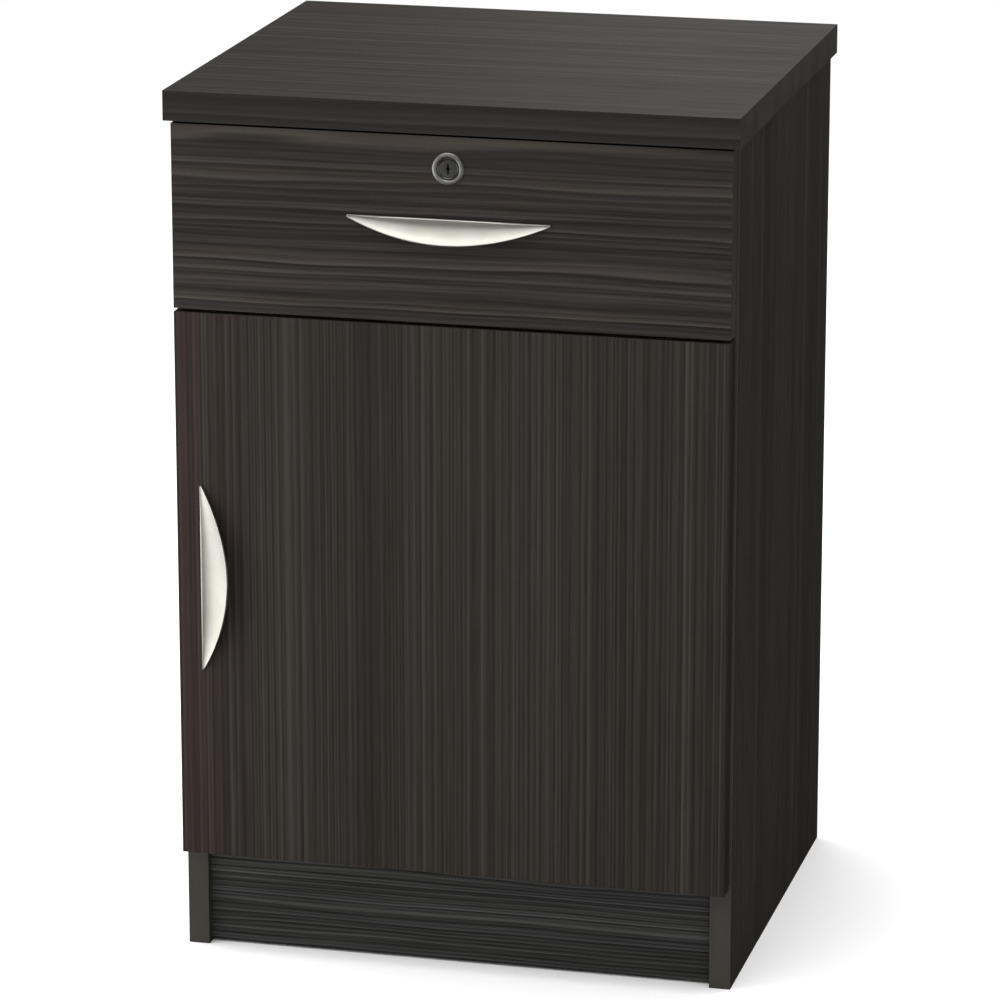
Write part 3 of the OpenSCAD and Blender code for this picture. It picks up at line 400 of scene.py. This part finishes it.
def make_materials():
    """One finished material for each of the record's slots."""
    return {
        "top_laminate": laminate(
            "top_laminate", "X", pitch=13, dark=(42, 39, 37), light=(62, 58, 55), seed=3.1,
            straight=2.5, bold=0.9, fine=0.3, painted_side_shade=0.45,
        ),
        "drawer_laminate": laminate(
            "drawer_laminate", "X", pitch=12, dark=(28, 24, 21), light=(64, 58, 54), seed=7.7,
            straight=1.7, bold=1.1, fine=0.3,
        ),
        "door_laminate": laminate(
            "door_laminate", "Z", pitch=9, dark=(30, 27, 23), light=(57, 52, 47), seed=1.9,
            straight=6.0, bold=1.0, fine=0.5, warm=REDDISH,
        ),
        "side_laminate": laminate(
            "side_laminate", "Z", pitch=14, dark=(41, 38, 35), light=(62, 59, 54), seed=5.3,
            straight=6.0, bold=0.6, fine=0.5,
        ),
        "plinth_laminate": laminate(
            "plinth_laminate", "X", pitch=7, dark=(24, 24, 23), light=(66, 67, 66), seed=9.2,
            straight=1.5, bold=1.2, fine=0.5,
        ),
        "edge_strip": edging(),
        "raw_board": chipboard(),
        "white_board": foil_board(),
        "white_steel": coated_steel(),
        "roller_nylon": nylon(),
        "beech": beech(),
        "satin_metal": metal("satin_metal", *SATIN, (60, 2600, 2600)),
        "zinc_steel": metal("zinc_steel", (168, 170, 174), (192, 194, 198), 0.3, (300, 300, 300)),
        "clear_rubber": soft_clear(),
    }


# ---------------------------------------------------------------- pieces

# How far each slot's edges are rounded, in millimetres. The slots that aren't here keep theirs sharp.
ROUND_EDGES = {
    "top_laminate": 0.9,
    "drawer_laminate": 0.9,
    "door_laminate": 0.9,
    "side_laminate": 0.5,
    "plinth_laminate": 0.4,
    "edge_strip": 0.3,
    "raw_board": 0.2,
    "white_board": 0.5,
    "white_steel": 0.25,
    "roller_nylon": 0.4,
    "zinc_steel": 0.15,
    "satin_metal": 0.2,
}

# A thin board whose edges lie hidden in grooves.
SHARP_NODES = {"back_panel"}


def finish_node(node, material, round_mm):
    """Gives a CAD node its material, and softens its edges without touching its mesh."""
    for place in range(max(1, len(node.data.materials))):
        if place < len(node.material_slots):
            node.material_slots[place].link = "OBJECT"
            node.material_slots[place].material = material
        else:
            node.data.materials.append(material)
    if round_mm:
        weld = node.modifiers.new("weld", "WELD")
        weld.merge_threshold = 0.01 * MM
        bevel = node.modifiers.new("round", "BEVEL")
        bevel.width = round_mm * MM
        bevel.segments = 2
        bevel.limit_method = "ANGLE"
        bevel.angle_limit = math.radians(40)
        bevel.use_clamp_overlap = True


def finish_cad_nodes(materials):
    """Gives each CAD node the material of its slot, and the lock's barrel a darker metal, which paints the
    shade inside the lock.
    """
    for part in frame["record"]["subparts"]:
        slot = part["material_slot"]
        round_mm = 0 if part["node"] in SHARP_NODES else ROUND_EDGES.get(slot, 0)
        finish_node(NODES[part["node"]], materials[slot], round_mm)
    # Painted shade: the barrel's metal is darker than its satin slot, for the shade inside the lock.
    barrel = metal("barrel_metal_painted_shade", (88, 88, 84), (110, 110, 106), 0.32, (700, 700, 700))
    finish_node(NODES["lock_barrel"], barrel, 0)


def new_piece(name, points, faces, material, node, body):
    """A smooth-shaded piece that stands for a CAD node and rides with its body."""
    mesh = bpy.data.meshes.new(name)
    mesh.from_pydata([tuple(p) for p in points], [], faces)
    mesh.validate()
    work = bmesh.new()
    work.from_mesh(mesh)
    bmesh.ops.recalc_face_normals(work, faces=work.faces)
    work.to_mesh(mesh)
    work.free()
    for face in mesh.polygons:
        face.use_smooth = True
    mesh.materials.append(material)
    piece = bpy.data.objects.new(name, mesh)
    bpy.context.collection.objects.link(piece)
    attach(piece, body)
    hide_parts(node)


def ring_faces(rings, count):
    """Quads between successive closed rings of count points."""
    faces = []
    for first in range(0, (rings - 1) * count, count):
        for i in range(count):
            j = (i + 1) % count
            faces.append((first + i, first + j, first + count + j, first + count + i))
    return faces


# The handles' metal and its depth at the tips, and the posts that the screws run into.
HANDLE_METAL = 1.8 * MM
HANDLE_TIP = 2.2 * MM
HANDLE_RINGS = 81
POST_PITCH = 96 * MM
POST_DROP = 9 * MM
POST_RADIUS = 3.5 * MM
POST_SHORT = 0.15 * MM
POST_ROUND = 0.3 * MM


def handle_outline(u, half, depth, reach):
    """One closed outline across the scoop at u: down its front, round its lip and up its back."""
    swell = 1 - u * u
    deep = HANDLE_TIP + (depth - HANDLE_TIP) * swell
    off = (reach - HANDLE_METAL) * swell
    run = deep - HANDLE_METAL / 2
    steps = 22
    front = [(-HANDLE_METAL - off * (i / steps) ** 2, -run * i / steps) for i in range(1, steps + 1)]
    lip = []
    for degrees in range(75, -90, -15):
        turn = math.radians(degrees)
        out = -off - HANDLE_METAL / 2 - math.sin(turn) * HANDLE_METAL / 2
        lip.append((out, -run - math.cos(turn) * HANDLE_METAL / 2))
    back = [(-off * (i / steps) ** 2, -run * i / steps) for i in range(steps, 0, -1)]
    top = [
        (0, -0.3 * MM), (-0.3 * MM, 0), (-0.9 * MM, 0), (-1.35 * MM, -0.2 * MM), (-1.7 * MM, -0.6 * MM),
    ]
    return [(u * half, y, z) for y, z in front + lip + back + top]


def make_handle(name, node, body, upright, material):
    """A crescent scoop handle in its CAD node's box, with its straight edge up or to the left."""
    lo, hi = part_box(node)
    size = hi - lo
    half = (size.z if upright else size.x) / 2
    depth = size.x if upright else size.z
    rings = []
    for k in range(HANDLE_RINGS):
        u = math.sin(math.pi / 2 * (2 * k / (HANDLE_RINGS - 1) - 1))
        rings.append(handle_outline(u, half, depth, size.y))
    ring = len(rings[0])
    if upright:
        turn = Matrix.Rotation(math.radians(-90), 4, "Y")
        place = Matrix.Translation((lo.x, hi.y, (lo.z + hi.z) / 2)) @ turn
    else:
        place = Matrix.Translation(((lo.x + hi.x) / 2, hi.y, hi.z))
    points = [place @ Vector(p) for r in rings for p in r]
    faces = ring_faces(len(rings), ring)
    for first in (0, (len(rings) - 1) * ring):
        points.append(sum((points[first + i] for i in range(ring)), Vector()) / ring)
        faces += [(len(points) - 1, first + i, first + (i + 1) % ring) for i in range(ring)]
    new_piece(name, points, faces, material, node, body)
    make_posts(name, node, body, place, half, depth, size.y, material)


def make_posts(name, node, body, place, half, depth, reach, material):
    """The two posts behind a handle, which end just inside its metal."""
    swell = 1 - (POST_PITCH / 2 / half) ** 2
    run = HANDLE_TIP + (depth - HANDLE_TIP) * swell - HANDLE_METAL / 2
    off = (reach - HANDLE_METAL) * swell * ((POST_DROP - POST_RADIUS) / run) ** 2
    wide = POST_RADIUS / MM
    end = (off + HANDLE_METAL - POST_SHORT) / MM
    rounding = POST_ROUND / MM
    outline = [(0.0, end), (wide - rounding, end), (wide, end - rounding), (wide, 0.0)]
    for number, x in enumerate((-POST_PITCH / 2, POST_PITCH / 2)):
        at = place @ Vector((x, 0, -POST_DROP))
        turned(f"{name}_post_{number + 1}", outline, at, body, node, material)


def turned(name, outline, at, body, node, material):
    """A turned piece about a line along Y through at. The outline is (radius, forward) in millimetres."""
    count = 64
    smallest = 0.01
    points = []
    for radius, forward in outline:
        r = max(radius, smallest) * MM
        for i in range(count):
            turn = 2 * math.pi * i / count
            points.append((at[0] + r * math.cos(turn), at[1] - forward * MM, at[2] + r * math.sin(turn)))
    new_piece(name, points, ring_faces(len(outline), count), material, node, body)


def make_lock_rim(rim, throat):
    """The lock's raised rim, and the throat and housing inside it in a darker metal, which paints the shade
    of the recess.
    """
    lo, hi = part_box("lock_housing")
    middle = (lo + hi) / 2
    face_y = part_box("drawer_front")[0].y
    back = -(hi.y - face_y) / MM
    at = (middle.x, face_y, middle.z)
    ring = [
        (9.4, -0.05), (13.3, -0.05), (13.45, 0.2), (13.35, 0.65), (12.95, 1.1), (12.3, 1.4), (11.4, 1.54),
        (10.5, 1.5), (9.9, 1.3), (9.5, 0.9), (9.4, 0.4), (9.4, -0.05),
    ]
    inside = [
        (7.6, back), (9.45, back), (9.45, -0.06), (9.35, 0.1), (9.2, 0.3), (8.8, 0.75), (8.4, 0.95),
        (8.0, 0.85), (7.7, 0.5), (7.6, 0.1), (7.6, back),
    ]
    turned("lock_rim", ring, at, "drawer", "lock_housing", rim)
    turned("lock_throat", inside, at, "drawer", "lock_housing", throat)


def make_pieces(materials):
    """The handles and the lock's front, in place of their CAD nodes."""
    satin = materials["satin_metal"]
    upright = metal("satin_metal_upright", *SATIN, (2600, 2600, 60))
    make_handle("drawer_pull", "drawer_handle", "drawer", False, satin)
    make_handle("door_pull", "door_handle", "door", True, upright)
    rim = metal("rim_metal", (166, 165, 159), (184, 182, 176), 0.5, (900, 900, 900))
    # Painted shade: the throat inside the rim gets a darker metal for the shade of the recess.
    throat = metal("throat_metal_painted_shade", (96, 95, 91), (124, 122, 118), 0.3, (700, 700, 700))
    make_lock_rim(rim, throat)


make_camera()
make_lights()
make_floor()
MATERIALS = make_materials()
finish_cad_nodes(MATERIALS)
make_pieces(MATERIALS)
